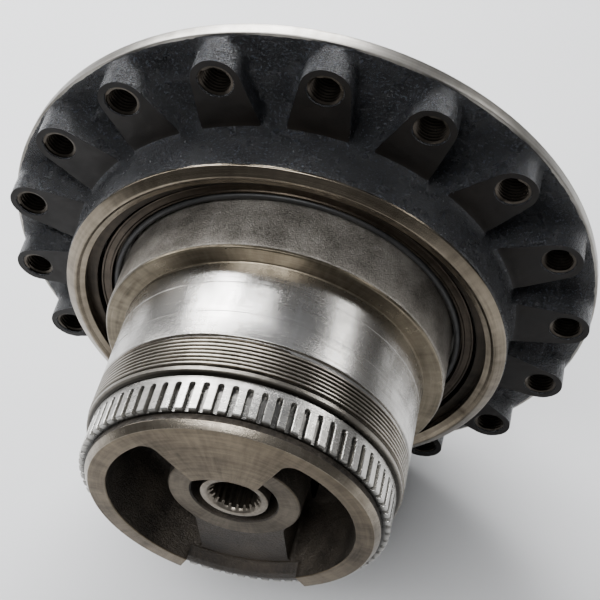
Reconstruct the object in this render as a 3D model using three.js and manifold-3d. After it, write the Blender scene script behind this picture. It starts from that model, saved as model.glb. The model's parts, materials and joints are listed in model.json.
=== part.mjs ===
// Two-stage planetary gearbox for a tracked machine's wheel drive, in millimetres.
//
// Everything is modelled along a local Z axis: z = 0 is the flat outer face of the rear cover and +Z runs
// to the nose of the fixed spindle. The exported group turns that axis to -Y, so the shaft lies level, the
// nose points to -Y and local +Y is up. The hub, ring gear and cover turn round the spindle.
import * as THREE from "three";
import { mergeVertices } from "three/addons/utils/BufferGeometryUtils.js";
import Module from "manifold-3d";

const wasm = await Module();
wasm.setup();

// ---- Driving dimensions ------------------------------------------------------------------------

const GAP = 0.3; // left between pieces that touch or turn on each other
const LEVEL = Math.PI / 2; // brings the local Z axis to -Y
const ROUND = 36; // sides of the large turned shapes, which nest with their sides lined up
const SMALL_ROUND = 24;
const PIN_SIDES = 10;
const BOLT_SIDES = 6;
const PLUG_SIDES = 12;
const COUPLING_SIDES = 16;

// Stations along the axis
const COVER_INNER_Z = 12;
const COVER_RIM_Z = 9.7; // seat of the bolt heads
const RING_REAR_Z = 20;
const RING_TEETH_TOP_Z = 74;
const HUB_REAR_Z = 100;
const FLANGE_BACK_Z = 108;
const FLANGE_FRONT_Z = 118;
const WEB_Z = 125;
const LUG_FACE_Z = 143;
const SEAL_SEAT_Z = 157;
const MOUTH_STEP_Z = 173;
const CREST_Z = 181;
const COLLAR_Z = 212.8;
const LAND_END_Z = 277;
const THREAD_END_Z = 305;
const SPLINE_START_Z = 308;
const SPLINE_END_Z = 333;
const BOSS_Z = 329;
const CHAMFER_Z = 337.7;
const NOSE_Z = 342;

// Hub
const FLANGE_R = 233;
const BARREL_R = 171.8;
const WEB_R = 206;
const PILOT_R = 150;
const LUG_COUNT = 18;
const LUG_HOLE_CIRCLE_R = 212.6;
const LUG_END_R = 17.4;
const LUG_ROOT_HALF_WIDTH = 22.5;
const LUG_ROOT_R = 168;
const LUG_HOLE_R = 10.4; // core of an M24 thread
const LUG_HOLE_FLOOR_Z = 112;
const MOUTH_R = 155.7;
const CREST_R = 163;
const SEAL_BORE_R = 148;
const SHOULDER_BORE_R = 118;

// Main bearings
const BEARING_BORE_R = 96;
const BEARING_OUTER_R = 124;
const BEARING_WIDTH = 25.4;
const FRONT_BEARING_Z = 131;
const REAR_BEARING_Z = 100.6;
const RACE_THICKNESS = 9;
const ROLLERS = 12;
const CAGE_HALF_THICKNESS = 1.5;
const NUT_OUTER_R = 110;
const NUT_SLOTS = 4;

// Floating face seal: two steel rings face to face, each on its own rubber ring
const SEAL_Z = 158;
const SEAL_MIDDLE_Z = 164.8;
const ROTATING_SEAL = { z1: 164, innerR: 132, outerR: 139.5 };
const ROTATING_O_RING = { z1: 164.5, innerR: 141, outerR: 147 };
const FIXED_SEAL = { z1: 170, innerR: 137.6, outerR: 146 };
const FIXED_O_RING = { z1: 170.5, innerR: 131, outerR: 136 };

// Spindle
const BARREL_SPINDLE_R = 129.5;
const COLLAR_R = 128.2;
const LAND_R = 114;
const THREAD_R = 113;
const SPLINE_TIP_R = 109.7;
const SPLINE_ROOT_R = 106.2;
const SPLINE_TEETH = 72;
const STEP_R = 104;
const FACE_R = 100.5;
const SPINDLE_REAR_Z = 84;
const NUT_THREAD_R = 93;
const CARRIER_SEAT_R = 78;
const CARRIER_SEAT_END_Z = 116;
const CAVITY_R = 84;
const CAVITY_START_Z = 122;
const CAVITY_END_Z = 200;
const CAVITY_THROAT_R = 48;
const CAVITY_THROAT_Z = 240;
const POCKET_R = 87.5;
const POCKET_FLOOR_Z = 282;
const BOSS_R = 46.7;
const COUNTERBORE_R = 42;
const RECESS_R = 31;
const TOP_LOBE_HALF_ANGLE = 31.8;
const BOTTOM_LOBE_HALF_WIDTH = 32;
const STRAP_HALF_ANGLE = 28;
const STRAP_Z = 336;
const STRAP_INNER_R = 70;
const SPLINE_SHARE = 0.62; // part of the pitch that a tooth fills

// Gears: one module, and stub teeth of 25 degrees in both stages
const MODULE = 4;
const PRESSURE_ANGLE = (25 * Math.PI) / 180;
const ADDENDUM = 0.8 * MODULE;
const DEDENDUM = 1.05 * MODULE;
const THINNING = 0.12; // taken off each flank as backlash
const RING_TEETH = 60;
const PLANETS = 3;
const FIRST_STAGE = { sun: 12, planet: 24, z: 22, width: 13, boreR: 19, pinR: 13 };
const SECOND_STAGE = { sun: 18, planet: 21, z: 48, width: 24, boreR: 22, pinR: 15 };
const CARRIER_R = 112;
const FIRST_PLATE = { z0: 35.8, z1: 43.6 };
const SECOND_PLATE = { z0: 73.5, z1: 83.6 };
const CARRIER_SLEEVE = { z1: 112, boreR: 64, throatR: 58, throatZ: 86, plateBoreR: 40.5, plateZ: 84 };
const SUN_BORE_R = 20.5;
const SUN_NECK_R = 28;
const PIN_HEAD = { rim: 3, z0: 3.6, z1: 0.6 }; // both stations are measured back from the planet's face
const RING_OUTER_R = 150;
const RING_CLEAR_R = 127;

// Input
const SHAFT_R = 17.5;
const SHAFT_REAR_Z = 18;
const SHAFT_SPLINE_END_Z = 284;
const SHAFT_SEAL = { z0: 252, z1: 261, outerR: 25.7 };
const COUPLING_R = 24.4;
const COUPLING_REAR_Z = 262.3;
const INPUT_SPLINE_TEETH = 20;
const INPUT_SPLINE_R = 18;
const INPUT_SPLINE_MINOR_R = 15.8;
const INPUT_SPLINE_PLAY = 0.4;

// Cover and its fasteners
const COVER_FACE_R = 118;
const COVER_TAPER_R = 124;
const BOLT_COUNT = 12;
const BOLT_CIRCLE_R = 137;
const BOLT_R = 7;
const BOLT_END_Z = 122;
const BOLT_ACROSS_FLATS = 22;
const BOLT_HEAD_Z = 1;
const PLUG_CIRCLE_R = 98;
const PLUG_R = 12;
const PLUG_ANGLES = [90, 210, 330];
const PLUG_ACROSS_FLATS = 10;
const PLUG_SOCKET_DEPTH = 7;

// ---- Materials ---------------------------------------------------------------------------------

function finish(color, roughness, metalness) {
  return new THREE.MeshStandardMaterial({ color, roughness, metalness });
}
const blackPaint = finish(0x17191c, 0.38, 0.2);
const castIron = finish(0x6d6b66, 0.6, 0.8);
const machinedSteel = finish(0xa9a49a, 0.35, 1);
const gearSteel = finish(0x8f9092, 0.35, 1);
const bearingSteel = finish(0xb9bbbd, 0.2, 1);
const boltSteel = finish(0x2b2b2d, 0.5, 0.8);
const bronze = finish(0x9c7a42, 0.4, 1);
const rubber = finish(0x101010, 0.85, 0);

// ---- Solids ------------------------------------------------------------------------------------

function radians(degrees) {
  return (degrees * Math.PI) / 180;
}

function polar(r, angle) {
  return new THREE.Vector2(r * Math.cos(angle), r * Math.sin(angle));
}

// A closed three.js geometry as a manifold-3d solid, with its shared vertices merged and the empty
// triangles that a turned profile leaves on its axis dropped.
function solid(geometry) {
  geometry.deleteAttribute("normal");
  geometry.deleteAttribute("uv");
  const merged = mergeVertices(geometry, 1e-4);
  const corners = merged.index.array;
  const kept = [];
  for (let i = 0; i < corners.length; i += 3) {
    const [a, b, c] = corners.subarray(i, i + 3);
    if (a !== b && b !== c && c !== a) kept.push(a, b, c);
  }
  const mesh = new wasm.Mesh({
    numProp: 3,
    vertProperties: merged.attributes.position.array,
    triVerts: new Uint32Array(kept),
  });
  return new wasm.Manifold(mesh);
}

// A closed profile of [radius, z] points, turned about the Z axis.
function turned(profile, segments) {
  const points = profile.map(([r, z]) => new THREE.Vector2(r, z));
  if (THREE.ShapeUtils.area(points) < 0) points.reverse();
  points.push(points[0].clone());
  return solid(new THREE.LatheGeometry(points, segments).rotateX(Math.PI / 2));
}

function tube(innerR, outerR, z0, z1, segments) {
  return turned([[innerR, z0], [outerR, z0], [outerR, z1], [innerR, z1]], segments);
}

function rod(r, z0, z1, segments) {
  const geometry = new THREE.CylinderGeometry(r, r, z1 - z0, segments);
  return solid(geometry.rotateX(Math.PI / 2).translate(0, 0, (z0 + z1) / 2));
}

// A flat outline, given as points or a Shape, raised from z0 to z1.
function raised(outline, z0, z1, curveSegments = 12) {
  const shape = outline instanceof THREE.Shape ? outline : new THREE.Shape(outline);
  const settings = { depth: z1 - z0, bevelEnabled: false, curveSegments };
  return solid(new THREE.ExtrudeGeometry(shape, settings).translate(0, 0, z0));
}

function moved(body, x, y) {
  return body.translate([x, y, 0]);
}

function spun(body, degrees) {
  return body.rotate([0, 0, degrees]);
}

// ---- Gear outlines -----------------------------------------------------------------------------

function involute(angle) {
  return Math.tan(angle) - angle;
}

// Half the angle that a tooth, or an internal gear's tooth space, fills at radius r.
function halfAngle(teeth, r, thinning) {
  const pitchR = (MODULE * teeth) / 2;
  const baseR = pitchR * Math.cos(PRESSURE_ANGLE);
  const here = r > baseR ? Math.acos(baseR / r) : 0;
  return Math.PI / (2 * teeth) + involute(PRESSURE_ANGLE) - involute(here) - thinning / pitchR;
}

// One lobe at each tooth centre: radii run from the lobe's foot to its top, and widths are half angles.
function lobedOutline(count, radii, widths) {
  const points = [];
  for (let i = 0; i < count; i++) {
    const centre = (2 * Math.PI * i) / count;
    radii.forEach((r, k) => points.push(polar(r, centre - widths[k])));
    for (let k = radii.length - 1; k >= 0; k--) points.push(polar(radii[k], centre + widths[k]));
  }
  return points;
}

function externalGear(teeth, steps) {
  const pitchR = (MODULE * teeth) / 2;
  const rootR = pitchR - DEDENDUM;
  const height = DEDENDUM + ADDENDUM;
  const radii = [];
  for (let k = 0; k <= steps; k++) radii.push(rootR + (height * k) / steps);
  return lobedOutline(teeth, radii, radii.map((r) => halfAngle(teeth, r, THINNING)));
}

function internalGear(teeth) {
  const pitchR = (MODULE * teeth) / 2;
  const radii = [pitchR - ADDENDUM, pitchR + DEDENDUM];
  return lobedOutline(teeth, radii, radii.map((r) => halfAngle(teeth, r, -THINNING)));
}

// Straight-sided spline teeth: share is the part of the pitch that a tooth fills at its foot.
function splineOutline(teeth, rootR, tipR, share) {
  const half = (Math.PI / teeth) * share;
  return lobedOutline(teeth, [rootR, tipR], [half, half * 0.8]);
}

// ---- Assembly helpers --------------------------------------------------------------------------

const model = new THREE.Group();
const shaftLine = new THREE.Group();
shaftLine.rotation.x = LEVEL;
model.add(shaftLine);

function geometryOf(body) {
  const { vertProperties, triVerts } = body.getMesh();
  const indexed = new THREE.BufferGeometry();
  indexed.setAttribute("position", new THREE.BufferAttribute(vertProperties, 3));
  indexed.setIndex(new THREE.BufferAttribute(triVerts, 1));
  const geometry = indexed.toNonIndexed();
  geometry.computeVertexNormals();
  return geometry;
}

function addPiece(name, body, material, x = 0, y = 0, turn = 0) {
  const mesh = new THREE.Mesh(geometryOf(body), material);
  mesh.name = name;
  mesh.position.set(x, y, 0);
  mesh.rotation.z = turn;
  shaftLine.add(mesh);
}

// ---- Hub: barrel, flange, ring of lugs, seal and bearing bores ----------------------------------

function hub() {
  const outside = [
    [SHOULDER_BORE_R, HUB_REAR_Z + GAP],
    [PILOT_R, HUB_REAR_Z + GAP],
    [PILOT_R, FLANGE_BACK_Z],
    [FLANGE_R, FLANGE_BACK_Z],
    [FLANGE_R, FLANGE_FRONT_Z],
    [WEB_R, FLANGE_FRONT_Z],
    [WEB_R, WEB_Z],
    [BARREL_R, WEB_Z],
    [BARREL_R, CREST_Z - 2.7],
    [CREST_R, CREST_Z],
    [MOUTH_R, CREST_Z + 1],
    [SHOULDER_BORE_R, CREST_Z + 1],
  ];
  const bores = [
    [0, HUB_REAR_Z - 1],
    [BEARING_OUTER_R + GAP, HUB_REAR_Z - 1],
    [BEARING_OUTER_R + GAP, REAR_BEARING_Z + BEARING_WIDTH + GAP],
    [SHOULDER_BORE_R + GAP, REAR_BEARING_Z + BEARING_WIDTH + GAP],
    [SHOULDER_BORE_R + GAP, FRONT_BEARING_Z - GAP],
    [BEARING_OUTER_R + GAP, FRONT_BEARING_Z - GAP],
    [BEARING_OUTER_R + GAP, SEAL_SEAT_Z],
    [SEAL_BORE_R, SEAL_SEAT_Z],
    [SEAL_BORE_R, MOUTH_STEP_Z],
    [MOUTH_R, MOUTH_STEP_Z],
    [MOUTH_R, CREST_Z + 2],
    [0, CREST_Z + 2],
  ];
  let body = turned(outside, ROUND).subtract(turned(bores, ROUND));

  const lugOutline = new THREE.Shape();
  lugOutline.moveTo(LUG_ROOT_R, -LUG_ROOT_HALF_WIDTH);
  lugOutline.lineTo(LUG_HOLE_CIRCLE_R, -LUG_END_R);
  lugOutline.absarc(LUG_HOLE_CIRCLE_R, 0, LUG_END_R, -Math.PI / 2, Math.PI / 2);
  lugOutline.lineTo(LUG_ROOT_R, LUG_ROOT_HALF_WIDTH);
  const lug = raised(lugOutline, FLANGE_FRONT_Z - 1, LUG_FACE_Z, 6);
  const hole = moved(rod(LUG_HOLE_R, LUG_HOLE_FLOOR_Z, LUG_FACE_Z + 1, PIN_SIDES), LUG_HOLE_CIRCLE_R, 0);
  for (let i = 0; i < LUG_COUNT; i++) {
    const angle = (360 * i) / LUG_COUNT;
    body = body.add(spun(lug, angle)).subtract(spun(hole, angle));
  }

  const boltHole = moved(rod(BOLT_R + GAP, HUB_REAR_Z - 1, BOLT_END_Z + 1, BOLT_SIDES), BOLT_CIRCLE_R, 0);
  for (let i = 0; i < BOLT_COUNT; i++) body = body.subtract(spun(boltHole, (360 * i) / BOLT_COUNT));
  return body;
}

// ---- Spindle: journals, collar, land, thread, spline, and the cored nose ------------------------

// The right-hand nose pocket, between the boss, the rim, the top lobe and the bottom lobe.
function pocketOutline() {
  const top = radians(90 - TOP_LOBE_HALF_ANGLE);
  const side = BOTTOM_LOBE_HALF_WIDTH;
  const shape = new THREE.Shape();
  shape.moveTo(side, -Math.sqrt(BOSS_R ** 2 - side ** 2));
  shape.absarc(0, 0, POCKET_R, -Math.acos(side / POCKET_R), top, false);
  shape.absarc(0, 0, BOSS_R, top, -Math.acos(side / BOSS_R), true);
  return shape;
}

// Everything inside the rim that lies below the face: all but the top lobe.
function faceRecessOutline() {
  const right = radians(90 - TOP_LOBE_HALF_ANGLE);
  const left = radians(90 + TOP_LOBE_HALF_ANGLE);
  const shape = new THREE.Shape();
  shape.absarc(0, 0, POCKET_R, left, right + 2 * Math.PI, false);
  shape.absarc(0, 0, COUNTERBORE_R, right, left, false);
  return shape;
}

function spindle() {
  const journal = [
    [CARRIER_SEAT_R - 10, SPINDLE_REAR_Z],
    [NUT_THREAD_R, SPINDLE_REAR_Z],
    [NUT_THREAD_R, REAR_BEARING_Z - 1],
    [BEARING_BORE_R, REAR_BEARING_Z - 1],
    [BEARING_BORE_R, SEAL_SEAT_Z + 3],
    [CARRIER_SEAT_R - 10, SEAL_SEAT_Z + 3],
  ];
  const barrel = [
    [0, SEAL_SEAT_Z + 1.2],
    [BARREL_SPINDLE_R, SEAL_SEAT_Z + 1.2],
    [BARREL_SPINDLE_R, COLLAR_Z - 2.3],
    [COLLAR_R, COLLAR_Z],
    [LAND_R, COLLAR_Z],
    [LAND_R, LAND_END_Z],
    [THREAD_R, LAND_END_Z],
    [THREAD_R, THREAD_END_Z],
    [STEP_R, THREAD_END_Z],
    [STEP_R, CHAMFER_Z],
    [FACE_R, NOSE_Z],
    [0, NOSE_Z],
  ];
  const cavity = [
    [0, SPINDLE_REAR_Z - 1],
    [CARRIER_SEAT_R, SPINDLE_REAR_Z - 1],
    [CARRIER_SEAT_R, CARRIER_SEAT_END_Z],
    [CAVITY_R, CAVITY_START_Z],
    [CAVITY_R, CAVITY_END_Z],
    [CAVITY_THROAT_R, CAVITY_THROAT_Z],
    [SHAFT_R + 3, CAVITY_THROAT_Z],
    [SHAFT_R + 3, SHAFT_SEAL.z0 - GAP],
    [SHAFT_SEAL.outerR + GAP, SHAFT_SEAL.z0 - GAP],
    [SHAFT_SEAL.outerR + GAP, COUPLING_REAR_Z - GAP],
    [RECESS_R, COUPLING_REAR_Z - GAP],
    [RECESS_R, BOSS_Z + 1],
    [0, BOSS_Z + 1],
  ];
  const teeth = splineOutline(SPLINE_TEETH, SPLINE_ROOT_R, SPLINE_TIP_R, SPLINE_SHARE);
  let body = turned(barrel, ROUND)
    .add(turned(journal, ROUND))
    .add(raised(teeth, SPLINE_START_Z, SPLINE_END_Z))
    .subtract(raised(faceRecessOutline(), BOSS_Z, NOSE_Z + 1, 14))
    .subtract(turned(cavity, SMALL_ROUND));

  const pocket = raised(pocketOutline(), POCKET_FLOOR_Z, BOSS_Z + 1, 10);
  body = body.subtract(pocket).subtract(pocket.mirror([1, 0, 0]));

  const notch = new THREE.Shape();
  notch.absarc(0, 0, FACE_R + 10, radians(-90 - STRAP_HALF_ANGLE), radians(-90 + STRAP_HALF_ANGLE), false);
  notch.absarc(0, 0, STRAP_INNER_R, radians(-90 + STRAP_HALF_ANGLE), radians(-90 - STRAP_HALF_ANGLE), true);
  return body.subtract(raised(notch, STRAP_Z, NOSE_Z + 1, 6));
}

// ---- Ring gear and rear cover -------------------------------------------------------------------

function ringGear() {
  const outline = new THREE.Shape();
  outline.absarc(0, 0, RING_OUTER_R, 0, 2 * Math.PI);
  outline.holes.push(new THREE.Path(internalGear(RING_TEETH)));
  const toothed = raised(outline, RING_REAR_Z + GAP, RING_TEETH_TOP_Z, ROUND);
  const plain = tube(RING_CLEAR_R, RING_OUTER_R, RING_TEETH_TOP_Z, HUB_REAR_Z, ROUND);
  let body = toothed.add(plain);
  const hole = moved(rod(BOLT_R + GAP, RING_REAR_Z - 1, HUB_REAR_Z + 1, BOLT_SIDES), BOLT_CIRCLE_R, 0);
  for (let i = 0; i < BOLT_COUNT; i++) body = body.subtract(spun(hole, (360 * i) / BOLT_COUNT));
  return body;
}

function cover() {
  const profile = [
    [0, 0],
    [COVER_FACE_R, 0],
    [COVER_TAPER_R, COVER_RIM_Z],
    [RING_OUTER_R, COVER_RIM_Z],
    [RING_OUTER_R, RING_REAR_Z],
    [COVER_FACE_R - 1, RING_REAR_Z],
    [COVER_FACE_R - 1, COVER_INNER_Z],
    [0, COVER_INNER_Z],
  ];
  let body = turned(profile, ROUND);
  const boltHole = moved(rod(BOLT_R + GAP, 0, RING_REAR_Z + 1, BOLT_SIDES), BOLT_CIRCLE_R, 0);
  for (let i = 0; i < BOLT_COUNT; i++) body = body.subtract(spun(boltHole, (360 * i) / BOLT_COUNT));
  for (const angle of PLUG_ANGLES) {
    const hole = rod(PLUG_R + GAP, -1, COVER_INNER_Z + 1, PLUG_SIDES);
    body = body.subtract(spun(moved(hole, PLUG_CIRCLE_R, 0), angle));
  }
  return body;
}

function hexagon(acrossFlats) {
  const points = [];
  for (let i = 0; i < 6; i++) points.push(polar(acrossFlats / Math.sqrt(3), (Math.PI * i) / 3));
  return points;
}

function coverBolt() {
  const head = raised(hexagon(BOLT_ACROSS_FLATS), BOLT_HEAD_Z, COVER_RIM_Z - GAP);
  return head.add(rod(BOLT_R, COVER_RIM_Z - 1, BOLT_END_Z, BOLT_SIDES));
}

function plug() {
  const socket = raised(hexagon(PLUG_ACROSS_FLATS), 0, PLUG_SOCKET_DEPTH);
  return rod(PLUG_R, 0.5, COVER_INNER_Z, PLUG_SIDES).subtract(socket);
}

// ---- Main bearings, ring nut and seals ----------------------------------------------------------

// The rollers and their cage as one ring: a band with a round lobe at each roller.
function rollerSet(z) {
  const middle = (BEARING_BORE_R + BEARING_OUTER_R) / 2;
  const rollerR = (BEARING_OUTER_R - BEARING_BORE_R) / 2 - RACE_THICKNESS - 0.5;
  const half = rollerR / middle;
  const widths = [half, half * 0.5];
  const outer = lobedOutline(ROLLERS, [middle + CAGE_HALF_THICKNESS, middle + rollerR], widths);
  const inner = lobedOutline(ROLLERS, [middle - CAGE_HALF_THICKNESS, middle - rollerR], widths);
  const outline = new THREE.Shape(outer);
  outline.holes.push(new THREE.Path(inner));
  return raised(outline, z + 2, z + BEARING_WIDTH - 2);
}

function bearingNut() {
  let body = tube(NUT_THREAD_R + GAP, NUT_OUTER_R, SPINDLE_REAR_Z + 1, REAR_BEARING_Z - 1.6, ROUND);
  const slot = solid(new THREE.BoxGeometry(10, 9, 8).translate(NUT_OUTER_R, 0, SPINDLE_REAR_Z + 3));
  for (let i = 0; i < NUT_SLOTS; i++) body = body.subtract(spun(slot, (360 * i) / NUT_SLOTS + 45));
  return body;
}

// ---- Carriers, planets, suns and input line ------------------------------------------------------

function centreRadius(stage) {
  return (MODULE * (stage.sun + stage.planet)) / 2;
}

function drilledForPins(body, stage, plate) {
  const hole = moved(rod(stage.pinR + GAP, plate.z0 - 1, plate.z1, PIN_SIDES), centreRadius(stage), 0);
  for (let i = 0; i < PLANETS; i++) body = body.subtract(spun(hole, 90 + (360 * i) / PLANETS));
  return body;
}

function secondCarrier() {
  const profile = [
    [CARRIER_SLEEVE.plateBoreR, SECOND_PLATE.z0],
    [CARRIER_R, SECOND_PLATE.z0],
    [CARRIER_R, SECOND_PLATE.z1],
    [CARRIER_SEAT_R - GAP, SECOND_PLATE.z1],
    [CARRIER_SEAT_R - GAP, CARRIER_SLEEVE.z1],
    [CARRIER_SLEEVE.boreR, CARRIER_SLEEVE.z1],
    [CARRIER_SLEEVE.throatR, CARRIER_SLEEVE.throatZ],
    [CARRIER_SLEEVE.plateBoreR, CARRIER_SLEEVE.plateZ],
  ];
  const body = turned(profile, SMALL_ROUND);
  return drilledForPins(body, SECOND_STAGE, SECOND_PLATE);
}

function firstCarrier() {
  const body = tube(SUN_NECK_R + GAP, CARRIER_R, FIRST_PLATE.z0, FIRST_PLATE.z1, SMALL_ROUND);
  return drilledForPins(body, FIRST_STAGE, FIRST_PLATE);
}

// A pin runs from its head, behind the planet, up into its carrier plate.
function planetPin(stage, plate) {
  const head = rod(stage.boreR + PIN_HEAD.rim, stage.z - PIN_HEAD.z0, stage.z - PIN_HEAD.z1, PIN_SIDES);
  return head.add(rod(stage.pinR, stage.z - 1, plate.z1 - GAP, PIN_SIDES));
}

function planet(stage) {
  const outline = new THREE.Shape(externalGear(stage.planet, 1));
  const bore = new THREE.Path();
  bore.absarc(0, 0, stage.boreR, 0, 2 * Math.PI);
  outline.holes.push(bore);
  return raised(outline, stage.z, stage.z + stage.width, PIN_SIDES);
}

// Pressed into its planet. Its bore clears the pin's corners at every turn.
function planetBush(stage) {
  const top = stage.z + stage.width - 0.5;
  const innerR = stage.pinR / Math.cos(Math.PI / PIN_SIDES) + GAP;
  return tube(innerR, stage.boreR - GAP, stage.z + 0.5, top, PIN_SIDES);
}

function secondSun() {
  const { sun, z, width } = SECOND_STAGE;
  const gear = raised(externalGear(sun, 1), z, z + width);
  const neck = rod(SUN_NECK_R, FIRST_PLATE.z0 + 0.2, z + 1, SMALL_ROUND);
  return gear.add(neck).subtract(rod(SUN_BORE_R, FIRST_PLATE.z0 - 1, SECOND_PLATE.z0, PIN_SIDES));
}

function inputShaft() {
  const { sun, z, width } = FIRST_STAGE;
  const gear = raised(externalGear(sun, 1), z - 1, z + width);
  const minorR = INPUT_SPLINE_MINOR_R - INPUT_SPLINE_PLAY;
  const spline = splineOutline(INPUT_SPLINE_TEETH, minorR, INPUT_SPLINE_R - INPUT_SPLINE_PLAY, 0.4);
  return gear
    .add(rod(SHAFT_R, SHAFT_REAR_Z, COUPLING_REAR_Z - 1, PIN_SIDES))
    .add(raised(spline, COUPLING_REAR_Z - 2, SHAFT_SPLINE_END_Z));
}

function inputCoupling() {
  const outline = new THREE.Shape();
  outline.absarc(0, 0, COUPLING_R, 0, 2 * Math.PI);
  const teeth = splineOutline(INPUT_SPLINE_TEETH, INPUT_SPLINE_MINOR_R, INPUT_SPLINE_R, 0.55);
  outline.holes.push(new THREE.Path(teeth));
  return raised(outline, COUPLING_REAR_Z, BOSS_Z, COUPLING_SIDES);
}

// ---- Meshing -------------------------------------------------------------------------------------

// Turn of a planet whose teeth sit in the ring gear's spaces, for a planet centred at the given angle.
function planetTurn(stage, angle) {
  return angle - (angle * RING_TEETH) / stage.planet;
}

// Turn of the sun whose teeth sit in the spaces of the first planet.
function sunTurn(stage) {
  const angle = Math.PI / 2;
  const space = planetTurn(stage, angle) + Math.PI / stage.planet;
  return angle - ((space - angle - Math.PI) * stage.planet) / stage.sun;
}

// ---- The assembly --------------------------------------------------------------------------------

addPiece("hub", hub(), blackPaint);
addPiece("spindle", spindle(), castIron);
addPiece("ring_gear", ringGear(), gearSteel);
addPiece("rear_cover", cover(), blackPaint);

for (let i = 0; i < BOLT_COUNT; i++) {
  const angle = (2 * Math.PI * i) / BOLT_COUNT;
  const centre = polar(BOLT_CIRCLE_R, angle);
  addPiece(`cover_bolt_${i + 1}`, coverBolt(), boltSteel, centre.x, centre.y, angle);
}
["fill_plug", "drain_plug_left", "drain_plug_right"].forEach((name, i) => {
  const centre = polar(PLUG_CIRCLE_R, radians(PLUG_ANGLES[i]));
  addPiece(name, plug(), boltSteel, centre.x, centre.y);
});

for (const [side, z] of [["front", FRONT_BEARING_Z], ["rear", REAR_BEARING_Z]]) {
  const top = z + BEARING_WIDTH;
  const innerR = BEARING_BORE_R + GAP;
  const innerRace = tube(innerR, innerR + RACE_THICKNESS - 1, z, top, ROUND);
  const outerRace = tube(BEARING_OUTER_R - RACE_THICKNESS, BEARING_OUTER_R, z, top, ROUND);
  addPiece(`${side}_bearing_inner_race`, innerRace, bearingSteel);
  addPiece(`${side}_bearing_rollers`, rollerSet(z), bronze);
  addPiece(`${side}_bearing_outer_race`, outerRace, bearingSteel);
}
addPiece("bearing_nut", bearingNut(), machinedSteel);

function sealTube(ring, z0) {
  return tube(ring.innerR, ring.outerR, z0, ring.z1, SMALL_ROUND);
}
addPiece("seal_ring_rotating", sealTube(ROTATING_SEAL, SEAL_Z), machinedSteel);
addPiece("seal_o_ring_rotating", sealTube(ROTATING_O_RING, SEAL_Z), rubber);
addPiece("seal_ring_fixed", sealTube(FIXED_SEAL, SEAL_MIDDLE_Z), machinedSteel);
addPiece("seal_o_ring_fixed", sealTube(FIXED_O_RING, SEAL_MIDDLE_Z), rubber);

addPiece("second_carrier", secondCarrier(), castIron);
addPiece("first_carrier", firstCarrier(), castIron);
addPiece("second_sun", secondSun(), gearSteel, 0, 0, sunTurn(SECOND_STAGE));
addPiece("input_shaft", inputShaft(), gearSteel, 0, 0, sunTurn(FIRST_STAGE));
addPiece("input_coupling", inputCoupling(), machinedSteel, 0, 0, sunTurn(FIRST_STAGE));
const shaftSeal = tube(SHAFT_R + 0.7, SHAFT_SEAL.outerR, SHAFT_SEAL.z0, SHAFT_SEAL.z1, COUPLING_SIDES);
addPiece("input_shaft_seal", shaftSeal, rubber);
addPiece("thrust_pad", rod(SHAFT_R, COVER_INNER_Z + GAP, SHAFT_REAR_Z - GAP, COUPLING_SIDES), bronze);

const STAGES = [["first", FIRST_STAGE, FIRST_PLATE], ["second", SECOND_STAGE, SECOND_PLATE]];
for (const [name, stage, plate] of STAGES) {
  for (let i = 0; i < PLANETS; i++) {
    const angle = Math.PI / 2 + (2 * Math.PI * i) / PLANETS;
    const { x, y } = polar(centreRadius(stage), angle);
    const turn = planetTurn(stage, angle);
    addPiece(`${name}_planet_${i + 1}`, planet(stage), gearSteel, x, y, turn);
    addPiece(`${name}_planet_bush_${i + 1}`, planetBush(stage), bronze, x, y, turn);
    addPiece(`${name}_planet_pin_${i + 1}`, planetPin(stage, plate), bearingSteel, x, y, angle);
  }
}

export default model;
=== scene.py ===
"""Looks for the planetary gearbox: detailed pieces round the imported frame, studio floor, lights and camera.

Shapes are worked out in millimetres about the gearbox's own axis: z runs from the rear cover's face to the
nose of the spindle, y is up and x is to the right seen from the nose. placed() turns them into the frame.
"""

import json
import math

import bmesh
import bpy
import numpy as np
from mathutils import Matrix, Vector, noise


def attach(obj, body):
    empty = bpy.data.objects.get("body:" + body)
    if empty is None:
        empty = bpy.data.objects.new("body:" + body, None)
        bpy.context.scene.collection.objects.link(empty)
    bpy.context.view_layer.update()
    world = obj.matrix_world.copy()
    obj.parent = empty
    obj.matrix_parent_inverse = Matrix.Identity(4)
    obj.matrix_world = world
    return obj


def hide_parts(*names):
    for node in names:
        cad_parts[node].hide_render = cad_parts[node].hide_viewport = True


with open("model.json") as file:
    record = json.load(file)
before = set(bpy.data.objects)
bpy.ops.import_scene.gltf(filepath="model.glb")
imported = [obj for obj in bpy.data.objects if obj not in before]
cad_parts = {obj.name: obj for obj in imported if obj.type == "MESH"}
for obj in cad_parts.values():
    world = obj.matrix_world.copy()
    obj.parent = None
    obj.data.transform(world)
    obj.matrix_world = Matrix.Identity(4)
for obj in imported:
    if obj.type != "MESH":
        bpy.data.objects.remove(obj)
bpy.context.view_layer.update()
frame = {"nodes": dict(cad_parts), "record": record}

ROUND = 240  # sides of a turned piece
TURN = 2 * math.pi

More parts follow.
